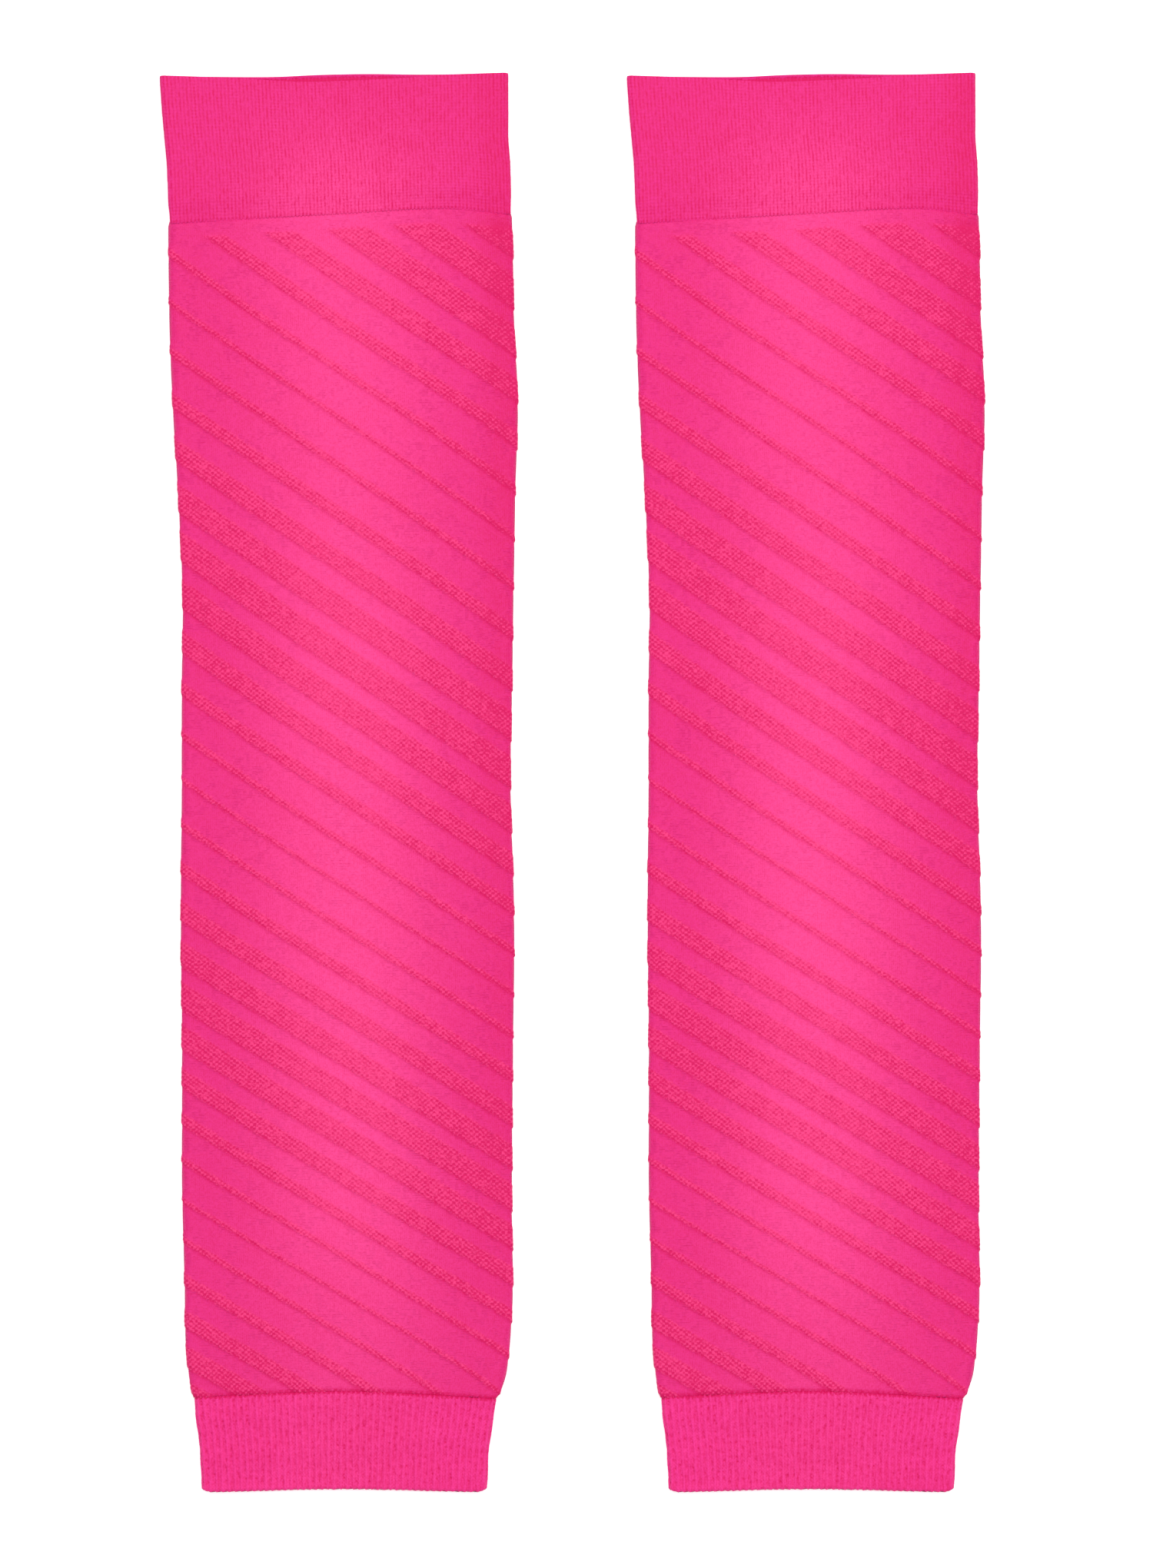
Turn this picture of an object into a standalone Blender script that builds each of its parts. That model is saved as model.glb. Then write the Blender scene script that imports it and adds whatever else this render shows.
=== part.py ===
# A pair of knitted arm sleeves lying flat beside each other, each one an open tube in three pieces.
# X runs across the pair, Y along the sleeves with the upper edge at +Y, and Z up from the surface
# that they lie on. Sizes are in millimetres, and MM turns them into metres where points are made.

import math
from collections import namedtuple

import bmesh
import bpy

MM = 0.001
NAME = "pair_of_arm_sleeves"

SLEEVE_SPACING = 131.7
SEAM_GAP = 0.3

BAND_WALL = 1.5
BODY_WALL = 1.0
CUFF_WALL = 1.2
INNER_GAP = 0.5
EDGE_ROUND = 0.4

HELIX_STARTS = 10
FIRST_THIN_BAND = 65.2
FIRST_PITCH = 14.1
PITCH_LOSS = 0.143
BAND_RAISE = 0.4
BAND_SLOPE = 0.45
PLAIN_STRIP = 4.0
BAND_END_CLEARANCE = 0.25

# How far the winding bands run above even helices: in a slow wave down the sleeve, and more towards the
# right fold as far as the middle of the sleeve.
DRIFT_MEAN = 0.8
DRIFT_SWING = 0.55
DRIFT_CREST_DEPTH = 85.0
DRIFT_LENGTH = 220.0
SKEW_LIFT = 1.7
SKEW_FROM_ACROSS = 0.2
SKEW_FADES_FROM = 170.0
SKEW_FADES_TO = 245.0

CUFF_RIBS = 47
CUFF_RIB_RAISE = 0.35

# The first and last of the winding bands that cross any part of the body, numbered down the left fold.
FIRST_BAND = -8
LAST_BAND = 34

# The share of one pitch that a raised band takes swings about its mean once in every ten bands.
MEAN_BAND_SHARE = 0.39
BAND_SHARE_SWING = 0.27

# How far a sleeve reaches left and right of its centre line at a depth below its upper edge.
Section = namedtuple("Section", "depth left right")
BAND_SECTIONS = (
    Section(0.0, 50.7, 47.9),
    Section(10.6, 49.95, 47.95),
    Section(18.4, 49.2, 47.9),
    Section(26.2, 48.5, 48.5),
    Section(42.0, 47.9, 48.9),
)
BODY_SECTIONS = (
    Section(38.0, 48.0, 48.6),
    Section(48.0, 48.0, 49.0),
    Section(70.0, 47.7, 49.4),
    Section(93.0, 46.8, 50.4),
    Section(116.0, 45.4, 49.7),
    Section(148.0, 44.0, 49.2),
    Section(174.0, 44.2, 48.8),
    Section(200.0, 44.2, 48.3),
    Section(239.0, 44.5, 49.4),
    Section(278.0, 44.1, 49.0),
    Section(317.0, 44.1, 48.7),
    Section(343.0, 43.4, 49.0),
    Section(356.0, 43.2, 48.4),
    Section(366.0, 42.3, 47.3),
    Section(370.0, 41.7, 46.2),
    Section(374.0, 40.9, 44.6),
)
CUFF_SECTIONS = (
    Section(371.0, 41.0, 44.8),
    Section(378.0, 40.45, 43.85),
    Section(383.0, 39.85, 43.05),
    Section(390.0, 39.1, 42.25),
    Section(400.0, 38.7, 41.8),
)

# The level of an edge, as a depth below the top of the sleeve, at a share of the way from left to right.
EdgePoint = namedtuple("EdgePoint", "across depth")
TOP_EDGE_FRONT = (
    EdgePoint(0.0, 0.8),
    EdgePoint(0.21, 1.5),
    EdgePoint(0.41, 2.5),
    EdgePoint(0.60, 1.6),
    EdgePoint(0.80, 0.6),
    EdgePoint(1.0, 0.0),
)
TOP_EDGE_BACK = (
    EdgePoint(0.0, 0.8),
    EdgePoint(0.30, 1.1),
    EdgePoint(0.55, 0.3),
    EdgePoint(1.0, 0.0),
)
BAND_SEAM = (
    EdgePoint(0.0, 42.4),
    EdgePoint(0.50, 39.7),
    EdgePoint(0.82, 38.2),
    EdgePoint(1.0, 39.8),
)
BAND_SEAM_BACK = (
    EdgePoint(0.0, 42.4),
    EdgePoint(1.0, 39.8),
)
CUFF_SEAM = (
    EdgePoint(0.0, 373.2),
    EdgePoint(0.50, 371.6),
    EdgePoint(1.0, 373.6),
)
BOTTOM_EDGE = (
    EdgePoint(0.0, 400.0),
    EdgePoint(0.50, 399.2),
    EdgePoint(1.0, 400.0),
)

# A place on a flattened tube's outline: a side, a share across it, or an angle round a fold.
Station = namedtuple("Station", "side place raised")

TOP_STATIONS = 9
UNDERSIDE_STATIONS = 4
FOLD_ANGLES = (45.0, 0.0, -45.0)
WELT_FOLD_ANGLES = (60.0, 30.0, 0.0, -30.0, -60.0)
RIBBED_FOLD_ANGLES = (67.5, 45.0, 22.5, 0.0, -22.5, -45.0, -67.5)

# How many rows of points the plain surfaces have along a piece.
UPPER_BAND_INSIDE_ROWS = 5
BODY_INSIDE_ROWS = 14
BODY_UNDERSIDE_ROWS = 16
CUFF_INSIDE_ROWS = 4

# The share of the outline's round that each quarter turn of a fold takes.
QUARTER_FOLD = 0.02

# The length of a quarter turn of the body's fold, as a share of the body's width.
BODY_QUARTER_FOLD = 0.021

# A band gets a flat crest only where it is at least this wide between its slopes, in pitches.
LEAST_CREST = 0.01

# The shares of a piece's length at which its plain outer rings lie.
UPPER_BAND_RINGS = (0.0, 0.015, 0.25, 0.5, 0.75, 0.985, 1.0)
WRIST_CUFF_RINGS = (0.0, 0.02, 0.35, 0.98, 1.0)

# Faces that meet at more than this many degrees keep a sharp edge between them.
SHARP_ANGLE = 40.0

# How close two keys are that stand for the same row.
SAME_KEY = 1e-6

# Keys that put a column's end points before and after all its band crossings.
ABOVE_BANDS = -1000.0
BELOW_BANDS = 1000.0


def smooth_read(rows, position, column):
    """Reads a table's column at a position, along a smooth curve through its rows."""
    places = [row[0] for row in rows]
    values = [getattr(row, column) for row in rows]
    if position <= places[0]:
        return values[0]
    if position >= places[-1]:
        return values[-1]
    low = max(i for i, place in enumerate(places) if place <= position)
    slopes = []
    for i in (low, low + 1):
        before = max(i - 1, 0)
        after = min(i + 1, len(rows) - 1)
        slopes.append((values[after] - values[before]) / (places[after] - places[before]))
    span = places[low + 1] - places[low]
    share = (position - places[low]) / span
    ease = share * share * (3.0 - 2.0 * share)
    start_pull = share * (1.0 - share) ** 2 * span * slopes[0]
    end_pull = -share * share * (1.0 - share) * span * slopes[1]
    return values[low] + ease * (values[low + 1] - values[low]) + start_pull + end_pull


def smooth_step(low, high, value):
    """0 below low, 1 above high, and an even S between them."""
    share = min(1.0, max(0.0, (value - low) / (high - low)))
    return share * share * (3.0 - 2.0 * share)


def raised_share(station):
    """How much of a raised form stands at a station: all of it above, none on the flat underside."""
    if station.side == "top":
        return 1.0
    if station.side == "underside":
        return 0.0
    return min(1.0, max(0.0, (station.place + 90.0) / 90.0))


def across(station):
    """The share of the way from the left fold to the right fold."""
    if station.side == "left":
        return 0.0
    if station.side == "right":
        return 1.0
    return station.place


def outline_point(sections, height, station, depth, offset):
    """A point of a flattened tube with round folds, moved outwards by an offset."""
    left = -smooth_read(sections, depth, "left")
    right = smooth_read(sections, depth, "right")
    radius = height / 2.0
    if station.side == "top":
        x = left + radius + (right - left - height) * station.place
        z = height + offset
    elif station.side == "underside":
        x = left + radius + (right - left - height) * station.place
        z = -offset if offset < 0.0 else 0.0
    else:
        angle = math.radians(station.place)
        reach = (radius + offset) * math.cos(angle)
        x = right - radius + reach if station.side == "right" else left + radius - reach
        rise = offset if station.place >= 0.0 else min(offset, 0.0)
        z = radius + (radius + rise) * math.sin(angle)
    return x, -depth, z


def fold(side, angles):
    """Stations round one fold, from the upper face down for the right one and up for the left one."""
    turned = angles if side == "right" else tuple(reversed(angles))
    return [Station(side, angle, 0.0) for angle in turned]


def spread(count):
    """Even shares from 0 to 1."""
    return [i / (count - 1) for i in range(count)]


class Wall:
    """Collects the points and faces of one closed cloth wall."""

    def __init__(self, sections, height, wall):
        self.mesh = bmesh.new()
        self.sections = sections
        self.height = height
        self.wall = wall

    def outer(self, station, depth, offset=0.0):
        x, y, z = outline_point(self.sections, self.height, station, depth, offset)
        return self.mesh.verts.new((x * MM, y * MM, z * MM))

    def inner(self, station, depth):
        height = self.height - 2.0 * self.wall
        x, y, z = outline_point(self.sections, height, station, depth, 0.0)
        side = {"left": 1.0, "right": -1.0}.get(station.side, 1.0 - 2.0 * across(station))
        return self.mesh.verts.new(((x + side * self.wall) * MM, y * MM, (z + self.wall) * MM))

    def strip(self, first, second):
        """Fills the space between two chains of (key, point), both in rising order of their keys."""
        i = 0
        j = 0
        while i < len(first) - 1 or j < len(second) - 1:
            next_first = first[i + 1][0] if i < len(first) - 1 else math.inf
            next_second = second[j + 1][0] if j < len(second) - 1 else math.inf
            corner = first[i][1]
            opposite = second[j][1]
            if abs(next_first - next_second) < SAME_KEY:
                i += 1
                j += 1
                self.mesh.faces.new((corner, first[i][1], second[j][1], opposite))
            elif next_first < next_second:
                i += 1
                self.mesh.faces.new((corner, first[i][1], opposite))
            else:
                j += 1
                self.mesh.faces.new((corner, second[j][1], opposite))

    def ring_strip(self, first, second):
        """Fills the space between two closed rings of (key, point), whose keys run from 0 to 1."""
        closed = [ring + [(ring[0][0] + 1.0, ring[0][1])] for ring in (first, second)]
        self.strip(*closed)

    def finish(self, name, centre_x, material, collection):
        bmesh.ops.recalc_face_normals(self.mesh, faces=self.mesh.faces)
        data = bpy.data.meshes.new(name)
        self.mesh.to_mesh(data)
        self.mesh.free()
        data.materials.append(material)
        data.shade_smooth()
        data.set_sharp_from_angle(angle=math.radians(SHARP_ANGLE))
        piece = bpy.data.objects.new(name, data)
        piece.location.x = centre_x * MM
        collection.objects.link(piece)
        return piece


def ring_key(station):
    """A place round the outline from 0 to 1: left fold, upper face, right fold, underside."""
    flat = 0.5 - 2.0 * QUARTER_FOLD
    if station.side == "top":
        return 2.0 * QUARTER_FOLD + flat * station.place
    if station.side == "right":
        return 0.5 + QUARTER_FOLD * (90.0 - station.place) / 90.0
    if station.side == "underside":
        return 0.5 + 2.0 * QUARTER_FOLD + flat * (1.0 - station.place)
    return QUARTER_FOLD * (station.place + 90.0) / 90.0


def ring_stations(top_places, fold_angles, underside_count):
    """The stations of a ring in rising order of ring_key."""
    stations = fold("left", fold_angles)
    stations += [Station("top", place, 0.0) for place in top_places]
    stations += fold("right", fold_angles)
    stations += [Station("underside", place, 0.0) for place in reversed(spread(underside_count))]
    return stations


def level(edge_front, edge_back, station):
    """The depth of an edge at a station, from the front's line or the back's."""
    rows = edge_back if station.side == "underside" else edge_front
    return smooth_read(rows, across(station), "depth")


def lined_inside(wall, upper_ring, lower_ring, upper_edge, lower_edge, rows):
    """Adds the plain inside and joins it to the outer rings at both open ends."""
    stations = ring_stations(spread(TOP_STATIONS), (0.0,), UNDERSIDE_STATIONS)
    rings = []
    for share in spread(rows):
        ring = []
        for station in stations:
            top = upper_edge(station)
            bottom = lower_edge(station)
            ring.append((ring_key(station), wall.inner(station, top + (bottom - top) * share)))
        rings.append(ring)
    for first, second in zip(rings, rings[1:]):
        wall.ring_strip(first, second)
    wall.ring_strip(upper_ring, rings[0])
    wall.ring_strip(lower_ring, rings[-1])


def ringed_tube(wall, stations, relief, upper_edge, lower_edge, shares):
    """Adds an outside of rings with rounded open edges and returns its first and last ring."""
    rings = []
    last = len(shares) - 1
    for i, share in enumerate(shares):
        ring = []
        for station in stations:
            top = upper_edge(station)
            depth = top + (lower_edge(station) - top) * share
            offset = -EDGE_ROUND if i in (0, last) else relief(station)
            ring.append((ring_key(station), wall.outer(station, depth, offset)))
        rings.append(ring)
    for first, second in zip(rings, rings[1:]):
        wall.ring_strip(first, second)
    return rings[0], rings[-1]


def build_upper_band(name, centre_x, material, collection):
    """The doubled welt, whose front edge dips so that the rim of the back shows above it."""
    wall = Wall(BAND_SECTIONS, 2.0 * BAND_WALL + INNER_GAP, BAND_WALL)
    stations = ring_stations(spread(TOP_STATIONS), WELT_FOLD_ANGLES, UNDERSIDE_STATIONS)

    def upper_edge(station):
        return level(TOP_EDGE_FRONT, TOP_EDGE_BACK, station)

    def lower_edge(station):
        return level(BAND_SEAM, BAND_SEAM_BACK, station) - SEAM_GAP

    def relief(station):
        return 0.0

    upper, lower = ringed_tube(wall, stations, relief, upper_edge, lower_edge, UPPER_BAND_RINGS)
    lined_inside(wall, upper, lower, upper_edge, lower_edge, UPPER_BAND_INSIDE_ROWS)
    return wall.finish(name, centre_x, material, collection)


def helix_depth(turn):
    """The depth on the left fold at which the band numbered by turn crosses it."""
    return FIRST_THIN_BAND + FIRST_PITCH * turn - PITCH_LOSS / 2.0 * turn * turn


def band_share(number):
    """The share of its pitch that a raised band takes, least for the bands numbered 0, 10 and 20."""
    return MEAN_BAND_SHARE - BAND_SHARE_SWING * math.cos(2.0 * math.pi * number / HELIX_STARTS)


def band_marks(first, last):
    """The edges and crests of the raised bands, as (turn, raised height), in rising order of turn."""
    marks = []
    for number in range(first, last + 1):
        half = band_share(number) / 2.0
        pitch = FIRST_PITCH - PITCH_LOSS * number
        slope = min(BAND_SLOPE / pitch, half)
        marks.append((number - half, 0.0))
        if half - slope > LEAST_CREST:
            marks.append((number - half + slope, BAND_RAISE))
            marks.append((number + half - slope, BAND_RAISE))
        else:
            marks.append((float(number), BAND_RAISE))
        marks.append((number + half, 0.0))
    return marks


def winding(station):
    """How far round the tube a station lies, in band pitches from the outermost line of the left fold."""
    half_turn = HELIX_STARTS / 2.0
    quarter = BODY_QUARTER_FOLD * half_turn
    if station.side == "top":
        return quarter + (half_turn - 2.0 * quarter) * station.place
    if station.side == "right":
        return half_turn - quarter * station.place / 90.0
    return quarter * station.place / 90.0


def drift(station, depth):
    """How far a band at a depth runs above an even helix. It is the same on a fold's two sides."""
    from_left = 1.0 - abs(1.0 - abs(winding(station)) / (HELIX_STARTS / 2.0))
    wave = math.cos(2.0 * math.pi * (depth - DRIFT_CREST_DEPTH) / DRIFT_LENGTH)
    skew = smooth_step(SKEW_FROM_ACROSS, 1.0, from_left)
    skew *= 1.0 - smooth_step(SKEW_FADES_FROM, SKEW_FADES_TO, depth)
    return DRIFT_MEAN + DRIFT_SWING * wave + SKEW_LIFT * skew


def band_depth(turn, station):
    """The depth at which the band numbered by turn crosses a station."""
    even = helix_depth(turn + winding(station))
    lifted = even - drift(station, even)
    return even - drift(station, lifted)


def banded_columns(wall, stations, upper_edge, lower_edge):
    """Adds one column of points for each station, with points where it crosses a raised band."""
    columns = []
    marks = band_marks(FIRST_BAND, LAST_BAND)
    for station in stations:
        top = upper_edge(station)
        bottom = lower_edge(station)
        strip_end = top + PLAIN_STRIP
        column = [(-math.inf, wall.outer(station, top, -EDGE_ROUND))]
        column.append((ABOVE_BANDS, wall.outer(station, top + EDGE_ROUND)))
        column.append((ABOVE_BANDS + 1.0, wall.outer(station, strip_end)))
        for turn, height in marks:
            depth = band_depth(turn, station)
            if strip_end + BAND_END_CLEARANCE < depth < bottom - EDGE_ROUND - BAND_END_CLEARANCE:
                column.append((turn, wall.outer(station, depth, height * raised_share(station))))
        column.append((BELOW_BANDS, wall.outer(station, bottom - EDGE_ROUND)))
        column.append((BELOW_BANDS + 1.0, wall.outer(station, bottom, -EDGE_ROUND)))
        columns.append(column)
    return columns


def plain_columns(wall, stations, upper_edge, lower_edge, rows):
    """Adds the columns of the flat underside."""
    columns = []
    for station in stations:
        top = upper_edge(station)
        bottom = lower_edge(station)
        column = [(top, wall.outer(station, top, -EDGE_ROUND))]
        for share in spread(rows):
            depth = top + EDGE_ROUND + (bottom - top - 2.0 * EDGE_ROUND) * share
            column.append((depth, wall.outer(station, depth)))
        column.append((bottom, wall.outer(station, bottom, -EDGE_ROUND)))
        columns.append(column)
    return columns


def by_depth(column):
    """The same column with each point keyed by its own depth."""
    return [(-point.co.y / MM, point) for key, point in column]


def build_body(name, centre_x, material, collection):
    """The seamless tapered tube with its ten winding bands."""
    wall = Wall(BODY_SECTIONS, 2.0 * BODY_WALL + INNER_GAP, BODY_WALL)
    stations = ring_stations(spread(TOP_STATIONS), FOLD_ANGLES, UNDERSIDE_STATIONS)
    banded = [station for station in stations if station.side != "underside"]
    plain = [station for station in stations if station.side == "underside"]

    def upper_edge(station):
        return level(BAND_SEAM, BAND_SEAM_BACK, station)

    def lower_edge(station):
        return level(CUFF_SEAM, CUFF_SEAM, station) - SEAM_GAP

    above = banded_columns(wall, banded, upper_edge, lower_edge)
    below = plain_columns(wall, plain, upper_edge, lower_edge, BODY_UNDERSIDE_ROWS)
    for first, second in zip(above, above[1:]):
        wall.strip(first, second)
    for first, second in zip(below, below[1:]):
        wall.strip(level_keys(first), level_keys(second))
    wall.strip(by_depth(above[-1]), by_depth(below[0]))
    wall.strip(by_depth(below[-1]), by_depth(above[0]))
    keys = [ring_key(station) for station in stations]
    columns = above + below
    upper = [(key, column[0][1]) for key, column in zip(keys, columns)]
    lower = [(key, column[-1][1]) for key, column in zip(keys, columns)]
    lined_inside(wall, upper, lower, upper_edge, lower_edge, BODY_INSIDE_ROWS)
    return wall.finish(name, centre_x, material, collection)


def level_keys(column):
    """The same column with its points numbered, so that equal rows meet."""
    return [(float(i), point) for i, (key, point) in enumerate(column)]


def build_wrist_cuff(name, centre_x, material, collection):
    """The ribbed cuff, whose ridges stand on the outside of its upper face and folds."""
    wall = Wall(CUFF_SECTIONS, 2.0 * CUFF_WALL + INNER_GAP, CUFF_WALL)
    places = spread(2 * CUFF_RIBS + 1)
    ridges = places[1::2] + list(RIBBED_FOLD_ANGLES[0::2])
    stations = []
    for station in ring_stations(places, RIBBED_FOLD_ANGLES, UNDERSIDE_STATIONS):
        ridge = station.side != "underside" and station.place in ridges
        stations.append(station._replace(raised=1.0 if ridge else 0.0))

    def upper_edge(station):
        return level(CUFF_SEAM, CUFF_SEAM, station)

    def lower_edge(station):
        return level(BOTTOM_EDGE, BOTTOM_EDGE, station)

    def relief(station):
        return CUFF_RIB_RAISE * station.raised * raised_share(station)

    upper, lower = ringed_tube(wall, stations, relief, upper_edge, lower_edge, WRIST_CUFF_RINGS)
    lined_inside(wall, upper, lower, upper_edge, lower_edge, CUFF_INSIDE_ROWS)
    return wall.finish(name, centre_x, material, collection)


def knit_material(name, colour, roughness):
    """A matt knitted cloth of one colour."""
    material = bpy.data.materials.new(name)
    material.use_nodes = True
    shader = material.node_tree.nodes["Principled BSDF"]
    shader.inputs["Base Color"].default_value = (*colour, 1.0)
    shader.inputs["Roughness"].default_value = roughness
    shader.inputs["Metallic"].default_value = 0.0
    return material


def centre_on_surface(pieces):
    """Moves the pair so that the middle of its footprint is the origin."""
    bpy.context.view_layer.update()
    points = [piece.matrix_world @ vertex.co for piece in pieces for vertex in piece.data.vertices]
    for axis in (0, 1):
        values = [point[axis] for point in points]
        middle = (min(values) + max(values)) / 2.0
        for piece in pieces:
            piece.location[axis] -= middle


Cloth = namedtuple("Cloth", "piece build colour roughness")
CLOTHS = (
    Cloth("upper_band", build_upper_band, (0.90, 0.050, 0.255), 0.80),
    Cloth("body", build_body, (0.95, 0.055, 0.270), 0.75),
    Cloth("wrist_cuff", build_wrist_cuff, (0.87, 0.045, 0.245), 0.80),
)


def main():
    for leftover in list(bpy.data.objects):
        bpy.data.objects.remove(leftover, do_unlink=True)
    collection = bpy.data.collections.new(NAME)
    bpy.context.scene.collection.children.link(collection)

    pieces = []
    for side, centre_x in (("left", -SLEEVE_SPACING / 2.0), ("right", SLEEVE_SPACING / 2.0)):
        for cloth in CLOTHS:
            name = f"{side}_{cloth.piece}"
            material = knit_material(f"{name}_knit", cloth.colour, cloth.roughness)
            pieces.append(cloth.build(name, centre_x, material, collection))
    centre_on_surface(pieces)


main()
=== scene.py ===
"""The finished look of a pair of knitted arm sleeves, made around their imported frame.

Sizes below are in millimetres unless a name says otherwise, and MM turns them into metres. A turn runs
round a sleeve from 0 at its left fold, over the front to HALF_ROUND at its right fold, and on under the
back to 1. A depth is measured down from the upper edge.
"""

import math
from collections import namedtuple

import bpy
import numpy as np
from mathutils import Matrix, Vector


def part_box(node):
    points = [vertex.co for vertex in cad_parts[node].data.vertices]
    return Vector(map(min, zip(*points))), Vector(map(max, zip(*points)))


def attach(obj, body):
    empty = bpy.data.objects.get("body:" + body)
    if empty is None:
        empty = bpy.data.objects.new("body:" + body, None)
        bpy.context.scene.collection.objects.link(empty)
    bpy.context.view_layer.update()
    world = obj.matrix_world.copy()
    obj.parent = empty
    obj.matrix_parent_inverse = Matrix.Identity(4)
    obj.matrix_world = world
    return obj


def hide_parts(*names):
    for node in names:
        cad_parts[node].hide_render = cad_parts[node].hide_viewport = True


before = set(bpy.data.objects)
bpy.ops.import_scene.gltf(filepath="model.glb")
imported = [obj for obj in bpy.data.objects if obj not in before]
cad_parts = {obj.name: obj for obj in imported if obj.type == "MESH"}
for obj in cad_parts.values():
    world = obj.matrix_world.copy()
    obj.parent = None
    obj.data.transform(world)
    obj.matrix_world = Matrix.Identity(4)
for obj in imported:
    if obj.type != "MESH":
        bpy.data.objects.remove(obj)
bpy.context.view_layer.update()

bl_info = {
    "name": "Knitted Arm Sleeves",
    "version": (1, 0, 0),
    "blender": (4, 5, 0),
    "location": "3D View > Sidebar > Arm Sleeves",
    "description": "A pair of seamless knitted arm sleeves lying flat",
    "category": "Add Mesh",
}

MM = 0.001
HALF_ROUND = 0.5
BODY_NAME = "root"
SIDES = ("left", "right")


def table(kind, *rows):
    """Rows of one kind."""
    return tuple(kind(*row) for row in rows)


# How far a sleeve reaches left and right of its centre line at a depth.
Section = namedtuple("Section", "depth left right")
BAND_SECTIONS = table(
    Section, (0.0, 50.7, 47.9), (10.6, 49.95, 47.95), (18.4, 49.2, 47.9), (26.2, 48.5, 48.5),
    (42.0, 47.9, 48.9),
)
BODY_SECTIONS = table(
    Section, (38.0, 48.0, 48.6), (48.0, 48.0, 49.0), (70.0, 47.7, 49.4), (93.0, 46.8, 50.4),
    (116.0, 45.4, 49.7), (148.0, 44.0, 49.2), (174.0, 44.2, 48.8), (200.0, 44.2, 48.3),
    (239.0, 44.5, 49.4), (278.0, 44.1, 49.0), (317.0, 44.1, 48.7), (343.0, 43.4, 49.0),
    (356.0, 43.2, 48.4), (366.0, 42.3, 47.3), (370.0, 41.7, 46.2), (374.0, 40.9, 44.6),
)
CUFF_SECTIONS = table(
    Section, (371.0, 41.0, 44.8), (378.0, 40.45, 43.85), (383.0, 39.85, 43.05), (390.0, 39.1, 42.25),
    (400.0, 38.7, 41.8),
)

# What shows of each piece: its sections, the depth where its girth is taken, and its length.
Shown = namedtuple("Shown", "sections girth_depth length_metres")
BAND_SHOWN = Shown(BAND_SECTIONS, 20.0, 0.0408)
BODY_SHOWN = Shown(BODY_SECTIONS, 200.0, 0.333)
CUFF_SHOWN = Shown(CUFF_SECTIONS, 386.0, 0.0272)

# The depths of an edge, on the front and on the back, at shares of the way from left to right.
Edge = namedtuple("Edge", "across depth")
TOP_EDGE = (
    table(Edge, (0.0, 0.8), (0.21, 1.5), (0.41, 2.6), (0.60, 2.0), (0.72, 1.35), (0.80, 0.7), (1.0, 0.0)),
    table(Edge, (0.0, 0.8), (0.30, 1.0), (0.46, 0.4), (0.60, 0.15), (0.78, 0.3), (1.0, 0.0)),
)
BAND_SEAM = (
    table(Edge, (0.0, 42.4), (0.50, 39.7), (0.82, 38.2), (1.0, 39.8)),
    table(Edge, (0.0, 42.4), (1.0, 39.8)),
)
CUFF_SEAM = (table(Edge, (0.0, 373.2), (0.50, 371.6), (1.0, 373.6)),) * 2
BOTTOM_EDGE = (table(Edge, (0.0, 399.5), (0.012, 400.0), (0.50, 399.2), (0.988, 400.0), (1.0, 399.5)),) * 2

# How far across from a fold an edge stays level, and relief grows.
FOLD_SHARE = 0.02
FOLD_REACH = 0.03

# The share of its relief that the knit keeps on a fold, and the painted shade there.
FOLD_RELIEF = 0.3
FOLD_SHADE = 0.06

# How far past a fold, in turns, the knit is as fine as on the front.
FRONT_MARGIN = 0.03

# Rows of points along each piece and on its plain inside, outer columns to an inner one, and the mark
# that tells the inside from a face in the maps.
BAND_ROWS = 88
CUFF_ROWS = 60
BAND_INSIDE_ROWS = 16
BODY_INSIDE_ROWS = 88
CUFF_INSIDE_ROWS = 12
INSIDE_STEP = 8
INSIDE_MARK = -1.0

# Points across a ribbed wale, wales across a rib, and rows up a loop.
POINTS_PER_WALE = 2
WALES_PER_FINE_RIB = 2
WALES_PER_COARSE_RIB = 4
FINE_RIB_POINTS = POINTS_PER_WALE * WALES_PER_FINE_RIB
ROWS_PER_LOOP = 2.0

# How far the body is tucked into its neighbours, how ends are rounded, and the upper band's taper.
SEAM_TUCK = 0.6
BODY_END_ROUND = 0.35
BAND_END_ROUND = 0.15
CUFF_END_ROUND = 0.5
BAND_TAPER_REACH = 7.0

# How far the winding bands run above even helices: in a slow wave down the sleeve, and more towards the
# right fold of its upper half.
DRIFT_MEAN = 0.8
DRIFT_SWING = 0.55
DRIFT_CREST_DEPTH = 85.0
DRIFT_LENGTH = 220.0
SKEW_LIFT = 1.7
SKEW_FROM_ACROSS = 0.2
SKEW_FADES = (170.0, 245.0)

# A winding band's start, and the shares of its height at its upper edge and in the step below.
START_RISE = 1.0
WINDING_UPPER_SHARE = 0.55
WINDING_STEP_SHARE = 0.45

# Moss stitches: how low every other one is, how they stray, and a course's height.
LOW_STITCH = -0.8
STITCH_JITTER = 0.32
STITCH_STRAY = 0.13
COURSE_HEIGHT = 0.68

# The crease below a winding band, and the shade in it.
CREASE_REACH = 1.3
CREASE_SHADE_REACH = 0.6
CREASE_SHADE = 0.35
CREASE_SHADE_LEAST = 0.3

# Slow unevenness: waves round a sleeve, their lengths along it, and each piece's height and seed.
UNEVEN_WAVES = 6
UNEVEN_AROUND = (1, 7)
UNEVEN_LENGTHS = (22.0, 110.0)
BODY_UNEVEN = (0.10, 4)
BAND_UNEVEN = (0.12, 9)
CUFF_UNEVEN = (0.08, 14)

# How far the body's folds stand out past its sections.
BODY_FULLNESS = 0.12

# The painted light along the middle of a face, and how far it reaches across.
PALE_MIDDLE = 0.50
PALE_REACH = 0.42
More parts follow.
